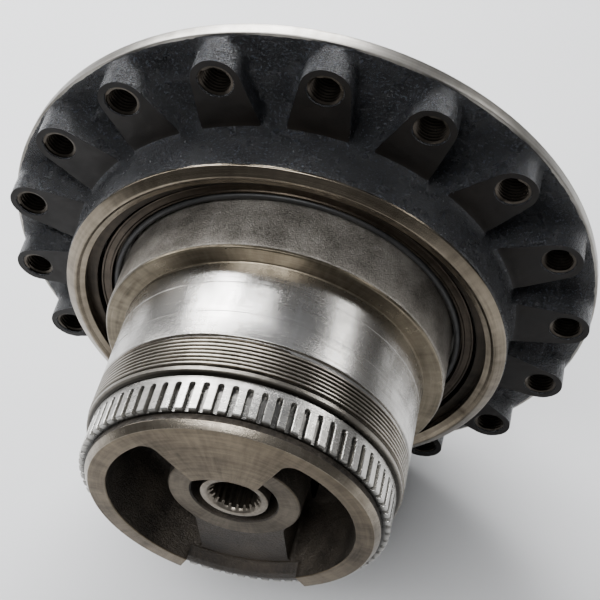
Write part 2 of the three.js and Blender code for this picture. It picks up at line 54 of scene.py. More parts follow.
# Stations along the axis and radii, in millimetres
FLANGE_BACK, FLANGE_FRONT, WEB, LUG_FACE = 108.0, 118.0, 125.0, 143.0
FLANGE_R, WEB_R, BARREL_R, CASTING_BORE_R = 233.0, 206.0, 171.8, 160.0
LUGS, LUG_CIRCLE_R, LUG_END_R, LUG_TAPER = 18, 212.6, 17.4, 0.1136
TAP_CORE_R, TAP_MAJOR_R, TAP_PITCH, TAP_FLOOR, TAP_TOP = 10.4, 12.0, 3.0, 112.0, 141.9
HOLE_R, HOLE_MOUTH_R = 12.3, 13.1
PAINT_TOP, MOUTH_STEP, CREST = 177.2, 173.0, 182.3
MOUTH_R, SEAL_BORE_R = 155.7, 148.0
COLLAR, LAND_END, NUT_THREAD_START, NUT_THREAD_END = 212.8, 277.0, 279.0, 302.0
SPLINE_START, SLOT_START, SPLINE_END, NOSE = 307.0, 312.0, 333.0, 342.0
LAND_R, NUT_CREST_R, NUT_ROOT_R, NUT_PITCH = 114.0, 114.0, 112.0, 3.0
SPLINE_TIP_R, SPLINE_ROOT_R, STEP_R, FACE_R = 109.7, 106.2, 104.0, 100.5
SPLINE_TEETH, SPLINE_SHARE = 72, 0.57  # the share is how much of the tip circle is tooth
BOSS, LOBE, RIM_R, BOSS_R, COUNTERBORE_R, RECESS_R = 329.0, 328.55, 87.5, 46.7, 42.0, 31.0
TOP_LOBE, NOTCH = math.radians(31.8), math.radians(28)  # half angles
LOWER_LOBE = 32.0  # half width
COUPLING_REAR, COUPLING_R, COUPLING_TEETH, COUPLING_MINOR_R, COUPLING_MAJOR_R = 262.3, 24.4, 20, 15.8, 18.0
COVER_RIM, RING_REAR, RING_TEETH_TOP, RING_FRONT, HUB_REAR, RING_R = 9.7, 20.3, 74.0, 100.0, 100.3, 150.0
RING_TEETH, RING_MODULE, PRESSURE_ANGLE, RING_RELIEF_R = 60, 4.0, math.radians(25), 127.0
BOLTS, BOLT_CIRCLE_R, PLUG_CIRCLE_R, PLUG_R = 12, 137.0, 98.0, 12.0
FLOOR_LEVEL, FLOOR_REACH = -0.2352, 30.0  # metres


# ---- Meshes ----------------------------------------------------------


def placed(points):
    """Points in millimetres about the axis, as points of the frame in metres."""
    points = np.asarray(points, float).reshape(-1, 3)
    return np.stack([points[:, 0], -points[:, 2], points[:, 1]], axis=1) / 1000


def piece(name, body, slot, points, faces, materials, nodes=(), sharp=35):
    """A closed mesh that rides on a body and stands for the named CAD nodes; slot is not used."""
    mesh = bpy.data.meshes.new(name)
    mesh.from_pydata(placed(points).tolist(), [], [list(map(int, f)) for f in faces])
    shape = bmesh.new()
    shape.from_mesh(mesh)
    bmesh.ops.remove_doubles(shape, verts=shape.verts, dist=2e-6)
    bmesh.ops.dissolve_degenerate(shape, edges=shape.edges, dist=1e-6)
    bmesh.ops.delete(shape, geom=[e for e in shape.edges if not e.link_faces], context="EDGES")
    bmesh.ops.recalc_face_normals(shape, faces=shape.faces)
    shape.to_mesh(mesh)
    shape.free()
    for material in materials:
        mesh.materials.append(material)
    shade(mesh, sharp)
    thing = bpy.data.objects.new(name, mesh)
    bpy.context.scene.collection.objects.link(thing)
    if body:
        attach(thing, body)
    if nodes:
        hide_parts(*nodes)
    return thing


def shade(mesh, sharp):
    """Smooth shading, with edges sharper than this many degrees left crisp."""
    mesh.polygons.foreach_set("use_smooth", [True] * len(mesh.polygons))
    mesh.set_sharp_from_angle(angle=math.radians(sharp))


def skin(rings, closed=True):
    """Points and faces of the skin through equal rings; closed also joins the last to the first."""
    rings = np.asarray(rings, float)
    count, around = rings.shape[:2]
    index = np.arange(count * around).reshape(count, around)
    if closed:
        index = np.concatenate([index, index[:1]])
    a, b = index[:-1], index[1:]
    faces = np.stack([a, np.roll(a, -1, 1), np.roll(b, -1, 1), b], axis=-1).reshape(-1, 4)
    return rings.reshape(-1, 3), faces


def capped(rings):
    """A skin with a flat cap on its first and last ring."""
    points, faces = skin(rings, closed=False)
    around = len(rings[0])
    first = list(range(around))
    last = [len(points) - around + i for i in first]
    return points, faces.tolist() + [first[::-1], last]


def rounded(corners, steps=4):
    """A closed outline through (a, b) corners, or (a, b, radius) where the corner has a fillet."""
    path = []
    for i, corner in enumerate(corners):
        here = np.array(corner[:2], float)
        if len(corner) == 2:
            path.append(here)
            continue
        back = np.array(corners[i - 1][:2]) - here
        ahead = np.array(corners[(i + 1) % len(corners)][:2]) - here
        u, v = back / np.linalg.norm(back), ahead / np.linalg.norm(ahead)
        half = math.acos(max(-1, min(1, u @ v))) / 2
        reach = min(corner[2] / math.tan(half), 0.49 * min(np.linalg.norm(back), np.linalg.norm(ahead)))
        radius = reach * math.tan(half)
        centre = here + (u + v) / np.linalg.norm(u + v) * radius / math.sin(half)
        start, end = here + u * reach - centre, here + v * reach - centre
        first = math.atan2(start[1], start[0])
        sweep = (math.atan2(end[1], end[0]) - first + math.pi) % TURN - math.pi
        for k in range(steps + 1):
            angle = first + sweep * k / steps
            path.append(centre + radius * np.array([math.cos(angle), math.sin(angle)]))
    return np.array(path)


def turned(corners, sides=ROUND, steps=4):
    """Rings of a closed (radius, z) profile turned about the axis."""
    return [level_ring(r, even_turn(sides), z) for r, z in rounded(corners, steps)]


def lathe(name, body, slot, corners, materials, nodes=(), sides=ROUND, steps=4, sharp=35):
    """A turned piece, from its closed (radius, z) profile."""
    points, faces = skin(turned(corners, sides, steps))
    return piece(name, body, slot, points, faces, materials, nodes, sharp)


def level_ring(radii, angles, heights):
    """Points about the axis at the given radii, angles and heights."""
    radii, angles, heights = np.broadcast_arrays(radii, angles, heights)
    return np.stack([radii * np.cos(angles), radii * np.sin(angles), heights], -1)


def even_turn(sides):
    """Angles of that many equal steps round the axis."""
    return TURN * np.arange(sides) / sides


def spun(points, angle):
    """Points turned about the axis."""
    points = np.asarray(points, float)
    c, s = math.cos(angle), math.sin(angle)
    x, y, z = points[..., 0], points[..., 1], points[..., 2]
    return np.stack([x * c - y * s, x * s + y * c, z], -1)


def gathered(parts):
    """Several (points, faces) pairs as one."""
    points, faces, start = [], [], 0
    for part_points, part_faces in parts:
        points.append(np.asarray(part_points).reshape(-1, 3))
        faces += [[start + int(v) for v in face] for face in part_faces]
        start += len(points[-1])
    return np.concatenate(points), faces


def dress(mesh, materials, choose):
    """Gives the mesh these materials, and each of its faces the one whose number choose(face) says."""
    mesh.materials.clear()
    for material in materials:
        mesh.materials.append(material)
    for polygon in mesh.polygons:
        polygon.material_index = choose(polygon)


def cut(target, *cutters):
    """Takes the cutters' solids away from target, then removes the cutters."""
    for cutter in cutters:
        modifier = target.modifiers.new("cut", "BOOLEAN")
        modifier.operation = "DIFFERENCE"
        modifier.solver = "MANIFOLD"
        modifier.object = cutter
        depsgraph = bpy.context.evaluated_depsgraph_get()
        result = bpy.data.meshes.new_from_object(target.evaluated_get(depsgraph))
        target.modifiers.remove(modifier)
        target.data = result
        bpy.data.objects.remove(cutter)


# ---- Materials -------------------------------------------------------

RING_MARK_DEPTH, SCRATCH_DEPTH = 0.00005, 0.00004  # relief of turned metal, in metres
GROOVE_SHADE_SHARE = 0.22  # how bright the painted shade at a groove's floor is beside the metal's own colour


class Look:
    """A node material, built up round its principled shader."""

    def __init__(self, name, metallic, specular=0.5):
        self.material = bpy.data.materials.new(name)
        self.material.use_nodes = True
        self.tree = self.material.node_tree
        self.shader = self.tree.nodes["Principled BSDF"]
        self.shader.inputs["Metallic"].default_value = metallic
        self.shader.inputs["Specular IOR Level"].default_value = specular
        self.coordinates = self.add("ShaderNodeTexCoord").outputs["Object"]

    def add(self, kind, settings=(), **inputs):
        """A node with its inputs set or linked; an input is named, or numbered as _0."""
        node = self.tree.nodes.new(kind)
        for key, value in dict(settings).items():
            setattr(node, key, value)
        for key, value in inputs.items():
            self.put(node.inputs[int(key[1:]) if key[0] == "_" else key.replace("_", " ")], value)
        return node

    def put(self, socket, value):
        """Links a node's output to a socket, or sets the socket's value."""
        if isinstance(value, bpy.types.NodeSocket):
            self.tree.links.new(value, socket)
        else:
            socket.default_value = value

    def math(self, operation, *values):
        node = self.add("ShaderNodeMath", {"operation": operation})
        for socket, value in zip(node.inputs, values):
            self.put(socket, value)
        return node.outputs[0]

    def noise(self, scale, detail=4.0, vector=None, rough=0.55):
        vector = vector or self.coordinates
        node = self.add("ShaderNodeTexNoise", Vector=vector, Scale=scale, Detail=detail, Roughness=rough)
        return node.outputs["Fac"]

    def round_the_axis(self, radial, along, around):
        """Coordinates of a turned surface, stretched for its radius, its axis and its turn."""
        parts = self.add("ShaderNodeSeparateXYZ", _0=self.coordinates)
        x, y, z = parts.outputs
        r = self.math("SQRT", self.math("ADD", self.math("MULTIPLY", x, x), self.math("MULTIPLY", z, z)))
        turn = self.math("ARCTAN2", z, x)
        joined = self.add(
            "ShaderNodeCombineXYZ",
            X=self.math("MULTIPLY", r, radial),
            Y=self.math("MULTIPLY", y, along),
            Z=self.math("MULTIPLY", turn, around),
        )
        return joined.outputs[0]

    def ramp(self, factor, *stops):
        """A colour ramp through (place, colour or grey) stops."""
        node = self.add("ShaderNodeValToRGB", Fac=factor)
        elements = node.color_ramp.elements
        while len(elements) < len(stops):
            elements.new(0.5)
        for element, (place, value) in zip(elements, stops):
            element.position = place
            element.color = (*value, 1) if isinstance(value, tuple) else (value, value, value, 1)
        return node.outputs["Color"]

    def mix(self, factor, a, b):
        node = self.add("ShaderNodeMix", {"data_type": "RGBA"})
        color_a, color_b = node.inputs[6], node.inputs[7]
        self.put(node.inputs["Factor"], factor)
        self.put(color_a, (*a, 1) if isinstance(a, tuple) else a)
        self.put(color_b, (*b, 1) if isinstance(b, tuple) else b)
        return node.outputs[2]

    def bump(self, height, distance, normal=None):
        """Relief this many metres deep, on top of another relief where there is one."""
        node = self.add("ShaderNodeBump", Height=height, Distance=distance)
        if normal is not None:
            self.put(node.inputs["Normal"], normal)
        return node.outputs["Normal"]

    def finish(self, color, roughness, normal):
        self.put(self.shader.inputs["Base Color"], color)
        self.put(self.shader.inputs["Roughness"], roughness)
        self.put(self.shader.inputs["Normal"], normal)
        return self.material


def cast_paint(name, specular, relief_depth):
    """Gloss black over a rough casting, with pale bluish specks painted into its colour as glints where the
    grains catch the light.
    """
    look = Look(name, 0.0, specular)
    grain = look.noise(560, 4, rough=0.7)
    lumps = look.noise(150, 3)
    coarse = look.math("ADD", grain, look.math("MULTIPLY", lumps, 0.6))
    dust = look.noise(34, 4)
    color = look.ramp(dust, (0.35, (0.0012, 0.0013, 0.0018)), (0.7, (0.0036, 0.0037, 0.0044)))
    # painted glints: pale bluish specks in the colour stand for highlights on the grains
    painted_glint = look.ramp(grain, (0.53, 0.0), (0.63, 1.0))
    color = look.mix(painted_glint, color, (0.032, 0.037, 0.049))
    rough = look.ramp(look.noise(90, 3), (0.3, 0.17), (0.75, 0.32))
    return look.finish(color, rough, look.bump(coarse, relief_depth))


def face_paint():
    """Thin paint over the machined lug faces: smooth, flat and a little brown."""
    look = Look("lug_face_paint", 0.0, 0.22)
    dust = look.noise(34, 5, rough=0.6)
    color = look.ramp(dust, (0.3, (0.0035, 0.0027, 0.0021)), (0.72, (0.010, 0.008, 0.0064)))
    rough = look.ramp(look.noise(60, 3), (0.3, 0.42), (0.75, 0.58))
    return look.finish(color, rough, look.bump(look.noise(700, 4), 0.0001))


def machined(name, dark, light, roughness, marks=1.0, groove=None):
    """Turned metal: fine rings round the axis, with soft stains. marks is how deep the rings are, and
    groove the (floor, top) radii in millimetres between which painted shade darkens it towards the floor."""
    look = Look(name, 1.0)
    rings = look.noise(1.0, 3, look.round_the_axis(5200, 5200, 1.2))
    broad = look.noise(1.0, 3, look.round_the_axis(420, 420, 3.0))
    patches = look.noise(18, 5)
    streaks = look.noise(1.0, 4, look.round_the_axis(60, 60, 26.0))
    tone = look.math("ADD", look.math("MULTIPLY", patches, 0.5), look.math("MULTIPLY", streaks, 0.25))
    tone = look.math("ADD", tone, look.math("MULTIPLY", broad, 0.25))
    color = look.ramp(tone, (0.36, dark), (0.62, light))
    rough = look.ramp(tone, (0.35, roughness * 1.25), (0.65, roughness * 0.8))
    if groove:
        # painted shade: the colour darkens towards the groove's floor
        radius = look.add("ShaderNodeSeparateXYZ", _0=look.round_the_axis(1, 0, 0)).outputs[0]
        floor, top = groove[0] / 1000, groove[1] / 1000
        unshaded = look.add("ShaderNodeMapRange", Value=radius, From_Min=floor, From_Max=top)
        painted_shade = tuple(GROOVE_SHADE_SHARE * c for c in dark)
        color = look.mix(unshaded.outputs[0], painted_shade, color)
    relief = look.bump(rings, RING_MARK_DEPTH * marks)
    relief = look.bump(look.noise(900, 3), SCRATCH_DEPTH, normal=relief)
    look.shader.inputs["Anisotropic"].default_value = 0.3
    return look.finish(color, rough, relief)


def cast_metal(name, dark, light, roughness, relief_depth=0.0006, metallic=0.75, grain_scale=520.0):
    """Bare casting: grainy, mottled and slightly pitted."""
    look = Look(name, metallic)
    grain = look.noise(grain_scale, 5, rough=0.7)
    lumps = look.noise(110, 3)
    mottled = look.noise(38, 6, rough=0.65)
    tone = look.math("ADD", look.math("MULTIPLY", mottled, 0.55), look.math("MULTIPLY", grain, 0.45))
    color = look.ramp(tone, (0.38, dark), (0.62, light))
    rough = look.ramp(grain, (0.3, roughness * 0.8), (0.75, roughness * 1.2))
    relief = look.bump(look.math("ADD", grain, look.math("MULTIPLY", lumps, 0.6)), relief_depth)
    return look.finish(color, rough, relief)


def plain_rubber(name, dark, light):
    """Dull rubber with a faint grain."""
    look = Look(name, 0.0)
    grain = look.noise(1400, 3)
    color = look.ramp(look.noise(50, 4), (0.3, dark), (0.7, light))
    rough = look.ramp(look.noise(160, 3), (0.3, 0.42), (0.7, 0.6))
    return look.finish(color, rough, look.bump(grain, 0.00006))


PAINT = cast_paint("cast_paint", 0.62, 0.0024)
COVER_PAINT = cast_paint("cover_paint", 0.35, 0.0012)
FACE_PAINT = face_paint()
MOUTH = machined("mouth_bronze_grey", (0.075, 0.061, 0.044), (0.27, 0.23, 0.175), 0.22)
SEAL_BORE = machined("seal_bore_dark", (0.012, 0.01, 0.008), (0.04, 0.032, 0.024), 0.36)
RIM = machined("flange_rim_steel", (0.16, 0.15, 0.132), (0.40, 0.38, 0.345), 0.36)
SEAL_STEEL = machined("seal_ring_brown", (0.022, 0.018, 0.014), (0.075, 0.06, 0.046), 0.34)
LAND = machined("polished_land", (0.34, 0.325, 0.30), (0.64, 0.62, 0.59), 0.25, 0.8)
COLLAR_METAL = machined("collar_face", (0.075, 0.062, 0.043), (0.24, 0.205, 0.15), 0.3)
# radii over which painted shade darkens the roots of the thread and the spline
THREAD_ROOT_SHADE = (NUT_ROOT_R - 0.8, NUT_CREST_R - 0.3)
SPLINE_ROOT_SHADE = (SPLINE_ROOT_R - 0.8, SPLINE_TIP_R - 0.2)
THREAD_METAL = machined("thread_steel", (0.17, 0.155, 0.13), (0.38, 0.35, 0.305), 0.3, 1.0, THREAD_ROOT_SHADE)
SPLINE_METAL = machined("spline_steel", (0.26, 0.25, 0.23), (0.66, 0.64, 0.6), 0.28, 1.2, SPLINE_ROOT_SHADE)
FACE_METAL = machined("nose_face", (0.048, 0.037, 0.025), (0.165, 0.132, 0.09), 0.36, 1.3)
CHAMFER_METAL = machined("nose_chamfer", (0.12, 0.10, 0.075), (0.34, 0.30, 0.24), 0.28)
BARREL_IRON = cast_metal(
    "barrel_iron", (0.10, 0.088, 0.074), (0.40, 0.37, 0.325), 0.4, 0.0011, grain_scale=760.0
)
POCKET_IRON = cast_metal("pocket_casting", (0.014, 0.0115, 0.009), (0.075, 0.062, 0.048), 0.42, 0.0009, 0.5)
STRAP_IRON = cast_metal("strap_casting", (0.012, 0.0095, 0.007), (0.052, 0.041, 0.03), 0.4, 0.0009, 0.5)
BOSS_METAL = machined("boss_face", (0.04, 0.032, 0.023), (0.115, 0.095, 0.07), 0.42)
COUPLING_STEEL = machined("coupling_steel", (0.09, 0.075, 0.058), (0.26, 0.23, 0.19), 0.36)
RING_STEEL = machined("ring_gear_steel", (0.22, 0.215, 0.20), (0.44, 0.43, 0.41), 0.36)
CORE_IRON = machined("bored_iron", (0.12, 0.115, 0.105), (0.28, 0.27, 0.25), 0.4)
TAP_STEEL = machined("tapped_thread", (0.018, 0.0155, 0.0125), (0.085, 0.073, 0.06), 0.3)
BOLT_STEEL = cast_metal("bolt_black", (0.02, 0.02, 0.022), (0.07, 0.07, 0.075), 0.42, 0.00008, 0.85, 1500.0)
GEAR_STEEL = machined("gear_steel", (0.32, 0.32, 0.32), (0.52, 0.52, 0.52), 0.3)
BEARING_STEEL = machined("bearing_steel", (0.50, 0.50, 0.51), (0.72, 0.72, 0.73), 0.16)
BRONZE = machined("bronze", (0.34, 0.21, 0.08), (0.56, 0.38, 0.17), 0.34)
CARRIER_IRON = cast_metal("carrier_iron", (0.10, 0.10, 0.095), (0.26, 0.255, 0.24), 0.5)
RUBBER = plain_rubber("seal_rubber", (0.006, 0.006, 0.006), (0.018, 0.017, 0.016))

SLOT_LOOKS = {
    "hub_paint": PAINT,
    "spindle_iron": BARREL_IRON,
    "carrier_iron": CARRIER_IRON,
    "ring_gear_steel": RING_STEEL,
    "gear_steel": GEAR_STEEL,
    "machined_steel": COUPLING_STEEL,
    "bearing_steel": BEARING_STEEL,
    "bolt_steel": BOLT_STEEL,
    "bronze": BRONZE,
    "seal_rubber": RUBBER,
}
for part in frame["record"]["subparts"]:
    node = frame["nodes"][part["node"]]
    node.data.materials.clear()
    node.data.materials.append(SLOT_LOOKS[part["material_slot"]])


# ---- Hub: the casting with its lugs ----------------------------------

CELL = 1.9  # size of the casting's mesh cells, in millimetres
LEVELS, FACE_LEVEL = 40, 19  # layers of cells along the axis, and the layer that holds the lug faces
LUG_DRAFT = 0.045  # how much wider a lug is for each millimetre below its face
WALL_FILLET, BASE_FILLET, WEB_FILLET = 5, 5, 2.5  # fillets of lug to barrel, walls to base, web to flange
PROBE = 0.02  # step for slopes of a distance, in millimetres
LUG_EDGE = 0.7  # width of the softened edge of a lug's face
CAST_EDGE_ANGLE = 38  # sharpest bend that is shaded smooth, in degrees


def corner_distance(r, z, edge_r, edge_z, radius):
    """Distance to a disc that ends at edge_r and edge_z, with its edge rounded."""
    a, b = r - edge_r + radius, z - edge_z + radius
    return np.hypot(np.maximum(a, 0), np.maximum(b, 0)) + np.minimum(np.maximum(a, b), 0) - radius


def soft_union(a, b, reach):
    """The nearer of two distances, with a cast fillet where they meet."""
    share = np.maximum(reach - np.abs(a - b), 0) / reach
    return np.minimum(a, b) - share**2 * reach / 4


def lug_distance(r, turn, z):
    """Distance to the sides of the nearest lug: a round end that widens towards the barrel and the base."""
    pitch = TURN / LUGS
    away = (turn + pitch / 2) % pitch - pitch / 2
    u, v = r * np.cos(away) - LUG_CIRCLE_R, np.abs(r * np.sin(away))
    slope = math.hypot(1, LUG_TAPER)
    side = (u * LUG_TAPER + v) / slope
    tip = (u - v * LUG_TAPER) / slope > 0
    draft = LUG_DRAFT * (LUG_FACE - z)
    return np.where(tip, np.hypot(u, v), side) - LUG_END_R - draft


def casting_distance(r, turn, z):
    """Distance to the casting: flange and web, lugs and barrel, kept inside the flange plate's rim."""
    flange = corner_distance(r, z, FLANGE_R - 1.6, FLANGE_FRONT + 0.3, 0.6)
    web = corner_distance(r, z, WEB_R, WEB, 1.5)
    base = soft_union(flange, web, WEB_FILLET)
    lug = np.maximum(lug_distance(r, turn, z), z - LUG_FACE)
    barrel = corner_distance(r, z, BARREL_R, PAINT_TOP, 0.8)
    walls = soft_union(barrel, lug, WALL_FILLET)
    whole = soft_union(walls, base, BASE_FILLET)
    rim = np.maximum(r - FLANGE_R + 1.5, CASTING_BORE_R - r)
    return np.maximum(np.maximum(whole, FLANGE_BACK + 1 - z), rim)


def surface_net(values):
    """Cells that a grid's zero surface crosses, with a point in each, and the quads between them. The first
    axis wraps round."""
    wrapped = np.concatenate([values, values[:1]])
    inside = wrapped < 0
    wide, high, deep = values.shape[0], values.shape[1] - 1, values.shape[2] - 1
    count = sum(
        inside[a : a + wide, b : b + high, c : c + deep].astype(int) for a, b, c in np.ndindex(2, 2, 2)
    )
    mixed = (count > 0) & (count < 8)
    cells = np.argwhere(mixed)
    number = np.full(mixed.shape, -1)
    number[mixed] = np.arange(len(cells))
    total, hits = np.zeros((len(cells), 3)), np.zeros(len(cells))
    for axis in range(3):
        step = np.eye(3, dtype=int)[axis]
        for corner in np.ndindex(2, 2, 2):
            if corner[axis]:
                continue
            start, end = cells + corner, cells + corner + step
            a, b = wrapped[tuple(start.T)], wrapped[tuple(end.T)]
            crossed = (a < 0) != (b < 0)
            share = a[crossed] / (a[crossed] - b[crossed])
            total[crossed] += np.array(corner) + share[:, None] * step
            hits[crossed] += 1
    points = cells + total / hits[:, None]
    quads = []
    for axis, u, v in ((0, 1, 2), (1, 2, 0), (2, 0, 1)):
        changed = values < 0
        ahead = wrapped[1:] < 0 if axis == 0 else np.roll(changed, -1, axis)
        nodes = np.argwhere(changed != ahead)
        limits = np.array([wide, high, deep])
        keep = np.ones(len(nodes), bool)
        for other in {1, 2}:
            low = 0 if other == axis else 1
            keep &= (nodes[:, other] >= low) & (nodes[:, other] < limits[other])
        nodes = nodes[keep]
        ring = []
        for du, dv in ((0, 0), (1, 0), (1, 1), (0, 1)):
            cell = nodes.copy()
            cell[:, u] -= du
            cell[:, v] -= dv
            cell[:, 0] %= wide
            ring.append(number[tuple(cell.T)])
        quads.append(np.stack(ring, 1))
    return cells, points, np.concatenate(quads)


def slopes(distance, r, turn, z):
    """The distance, and its slopes along the radius, round the axis and along the axis."""
    value = distance(r, turn, z)
    by_r = (distance(r + PROBE, turn, z) - value) / PROBE
    by_turn = (distance(r, turn + PROBE / r, z) - value) / PROBE
    by_z = (distance(r, turn, z + PROBE) - value) / PROBE
    return value, by_r, by_turn, by_z


def hub_casting():
    """Layer, radius, angle and height of the casting's points, and its quads."""
    around = 2 * round(TURN * LUG_CIRCLE_R / LUGS / CELL / 2)
    turns = TURN / LUGS * (np.arange(around) + 0.5) / around
    radii = np.arange(CASTING_BORE_R - 1.5, FLANGE_R + 3, CELL)
    heights = LUG_FACE + CELL * (np.arange(LEVELS) - FACE_LEVEL - 0.5)
    turn_grid, r_grid, z_grid = np.meshgrid(turns, radii, heights, indexing="ij")
    sector = casting_distance(r_grid, turn_grid, z_grid)
    cells, points, quads = surface_net(np.concatenate([sector] * LUGS))
    turn = turns[0] + points[:, 0] * TURN / LUGS / around
    r = radii[0] + points[:, 1] * CELL
    z = heights[0] + points[:, 2] * CELL
    for _ in range(4):
        value, by_r, by_turn, by_z = slopes(casting_distance, r, turn, z)
        scale = np.clip(value / np.maximum(by_r**2 + by_turn**2 + by_z**2, 0.3), -CELL, CELL)
        r, turn, z = r - scale * by_r, turn - scale * by_turn / r, z - scale * by_z
    return cells[:, 2], quads, r, turn, z


def build_casting():
    """The casting: lug faces flat with clean edges, and everything else a little uneven."""
    layers, quads, r, turn, z = hub_casting()
    in_layer = (layers == FACE_LEVEL) & (r > BARREL_R + 7)
    side = lug_distance(r, turn, z)
    edge = in_layer & (np.abs(side) < 0.8 * CELL)
    flat = in_layer & ~edge & (side < 0)
    z[flat | edge] = LUG_FACE
    for _ in range(3):
        value, by_r, by_turn, _ = slopes(lug_distance, r, turn, z)
        r = np.where(edge, r - value * by_r, r)
        turn = np.where(edge, turn - value * by_turn / r, turn)
    points = level_ring(r, turn, z)
    lift = np.zeros(len(points))
    for i in np.flatnonzero(~(flat | edge) & (z > FLANGE_BACK + 2)):
        at = Vector(points[i])
        lift[i] = 0.22 * noise.noise(at * 0.09) + 0.16 * noise.noise(at * 0.24)
    thing = piece("hub_casting", "hub", "hub_paint", points, quads, [PAINT], ["hub"], CAST_EDGE_ANGLE)
    vertices = thing.data.vertices
    if len(vertices) == len(lift):
        normals = np.zeros(len(vertices) * 3, np.float32)
        vertices_at = np.zeros(len(vertices) * 3, np.float32)
        thing.data.vertex_normals.foreach_get("vector", normals)
        vertices.foreach_get("co", vertices_at)
        vertices_at += normals * np.repeat(lift, 3).astype(np.float32) / 1000
        vertices.foreach_set("co", vertices_at)
    return thing


def soften_edges(thing, height, width):
    """Rounds the sharp edges at one station along the axis."""
    shape = bmesh.new()
    shape.from_mesh(thing.data)
    level = [e for e in shape.edges if all(abs(v.co.y + height / 1000) < 1e-5 for v in e.verts)]
    sharp = [e for e in level if e.is_manifold and e.calc_face_angle() > 0.9]
    bmesh.ops.bevel(shape, geom=sharp, offset=width / 1000, segments=2, affect="EDGES", clamp_overlap=True)
    shape.to_mesh(thing.data)
    shape.free()


casting = build_casting()
soften_edges(casting, LUG_FACE, LUG_EDGE)
lug_hole = turned([
    (0.0, TAP_FLOOR - 0.3), (HOLE_R, TAP_FLOOR - 0.3), (HOLE_R, 142.2), (HOLE_MOUTH_R, LUG_FACE + 0.2),
    (HOLE_MOUTH_R, 146), (0.0, 146),
], 48)
lug_hole = np.array(lug_hole) + [LUG_CIRCLE_R, 0, 0]
holes = [skin(spun(lug_hole, TURN * i / LUGS)) for i in range(LUGS)]
cut(casting, piece("hole_cutter", None, None, *gathered(holes), []))
dress(
    casting.data,
    [PAINT, FACE_PAINT],
    lambda face: int(face.normal.y < -0.9 and abs(face.center.y + LUG_FACE / 1000) < 0.0003),
)
shade(casting.data, CAST_EDGE_ANGLE)


def threaded(phases, pitch, z0, z1, runout_r, wall, sides):
    """A closed sleeve with a screw thread from z0 to z1. phases are (share of the pitch, radius) across
    one turn, runout_r its radius past the ends, and wall the (radius, z) profile of the other side."""
    angles = TURN * np.arange(sides + 1) / sides
    rings = []
    for lap in range(-1, int((z1 - z0) / pitch) + 2):
        for phase, radius in phases:
            z = z0 + pitch * (lap + phase + angles / TURN)
            r = np.where((z < z0) | (z > z1), runout_r, radius)
            rings.append(level_ring(r, angles, np.clip(z, z0, z1)))
    rings += [level_ring(radius, angles, z) for radius, z in wall]
    index = np.arange(len(rings) * len(angles)).reshape(len(rings), len(angles))
    a, b = index, np.roll(index, -1, 0)
    faces = np.stack([a[:, :-1], a[:, 1:], b[:, 1:], b[:, :-1]], -1).reshape(-1, 4)
    return np.array(rings).reshape(-1, 3), faces


def lug_threads():
    """The tapped threads of the lugs, and the holes' floors."""
    phases = [
        (0.0, TAP_CORE_R), (0.12, TAP_CORE_R), (0.40, TAP_MAJOR_R), (0.60, TAP_MAJOR_R),
        (0.88, TAP_CORE_R),
    ]
    wall = [(12.35, TAP_TOP), (12.35, TAP_FLOOR)]
    sleeve = threaded(phases, TAP_PITCH, TAP_FLOOR, TAP_TOP, TAP_MAJOR_R, wall, 36)
    floor = capped([level_ring(12.2, even_turn(36), z) for z in (TAP_FLOOR - 0.2, TAP_FLOOR + 0.4)])
    parts = [
        (spun(points + [LUG_CIRCLE_R, 0, 0], TURN * i / LUGS), faces)
        for i in range(LUGS)
        for points, faces in (sleeve, floor)
    ]
    piece("lug_threads", "hub", "machined_steel", *gathered(parts), [TAP_STEEL], sharp=30)


lug_threads()
lathe("hub_flange_plate", "hub", "hub_paint", [
    (RING_R - 2, HUB_REAR, 0.5), (RING_R, HUB_REAR, 0.8), (RING_R, FLANGE_BACK, 1.5),
    (FLANGE_R, FLANGE_BACK, 0.8), (FLANGE_R, FLANGE_FRONT, 0.8), (FLANGE_R - 4, FLANGE_FRONT),
    (FLANGE_R - 4, FLANGE_BACK + 2), (RING_R - 2, FLANGE_BACK + 2),
], [RIM])
lathe("hub_mouth", "hub", "machined_steel", [
    (MOUTH_R, MOUTH_STEP), (MOUTH_R, 179.4, 0.8), (160.0, 180.4, 0.5), (162.2, CREST, 1.6),
    (163.8, CREST, 2.4), (171.0, 178.4, 0.8), (171.0, MOUTH_STEP),
], [MOUTH], steps=8)
lathe("hub_seal_bore", "hub", "machined_steel", [
    (SEAL_BORE_R, 156.5), (SEAL_BORE_R, 172.6, 0.8), (MOUTH_R + 0.3, 172.6), (MOUTH_R + 0.3, 173.2),
    (161, MOUTH_STEP), (161, 156.5),
], [SEAL_BORE])
lathe("hub_bores", "hub", "hub_paint", [
    (124.3, HUB_REAR), (124.3, 126.3), (118.3, 126.3), (118.3, 130.7), (124.3, 130.7), (124.3, 157, 0.5),
    (147.9, 157, 2), (147.9, 160), (161, 160), (161, 110), (149, 110), (149, HUB_REAR),
], [CORE_IRON])

# ---- Face seal in the mouth ------------------------------------------

lathe("seal_ring_rotating_look", "hub", "machined_steel", [
    (132, 158, 0.5), (139.5, 158, 1.5), (139.5, 161, 1), (137, 164, 0.4), (132, 164, 0.4),
], [SEAL_STEEL], ["seal_ring_rotating"])
lathe("seal_o_ring_rotating_look", "hub", "seal_rubber", [
    (141, 158, 3), (147, 158, 3), (147, 164.5, 3), (141, 164.5, 3),
], [RUBBER], ["seal_o_ring_rotating"], steps=6)
lathe("seal_ring_fixed_look", "spindle", "machined_steel", [
    (137.6, 164.8, 0.4), (143, 164.8, 0.8), (146, 167, 0.8), (146, 170, 0.5), (144.4, 170, 0.3),
    (144, 169, 0.3), (139.6, 169, 0.3), (139, 170, 0.3), (137.6, 170, 0.3),
], [SEAL_STEEL], ["seal_ring_fixed"])
lathe("seal_o_ring_fixed_look", "spindle", "seal_rubber", [
    (131, 164.8, 2.4), (136, 164.8, 2.4), (136, 170.5, 2.4), (131, 170.5, 2.4),
], [RUBBER], ["seal_o_ring_fixed"], steps=6)

# ---- Spindle ---------------------------------------------------------

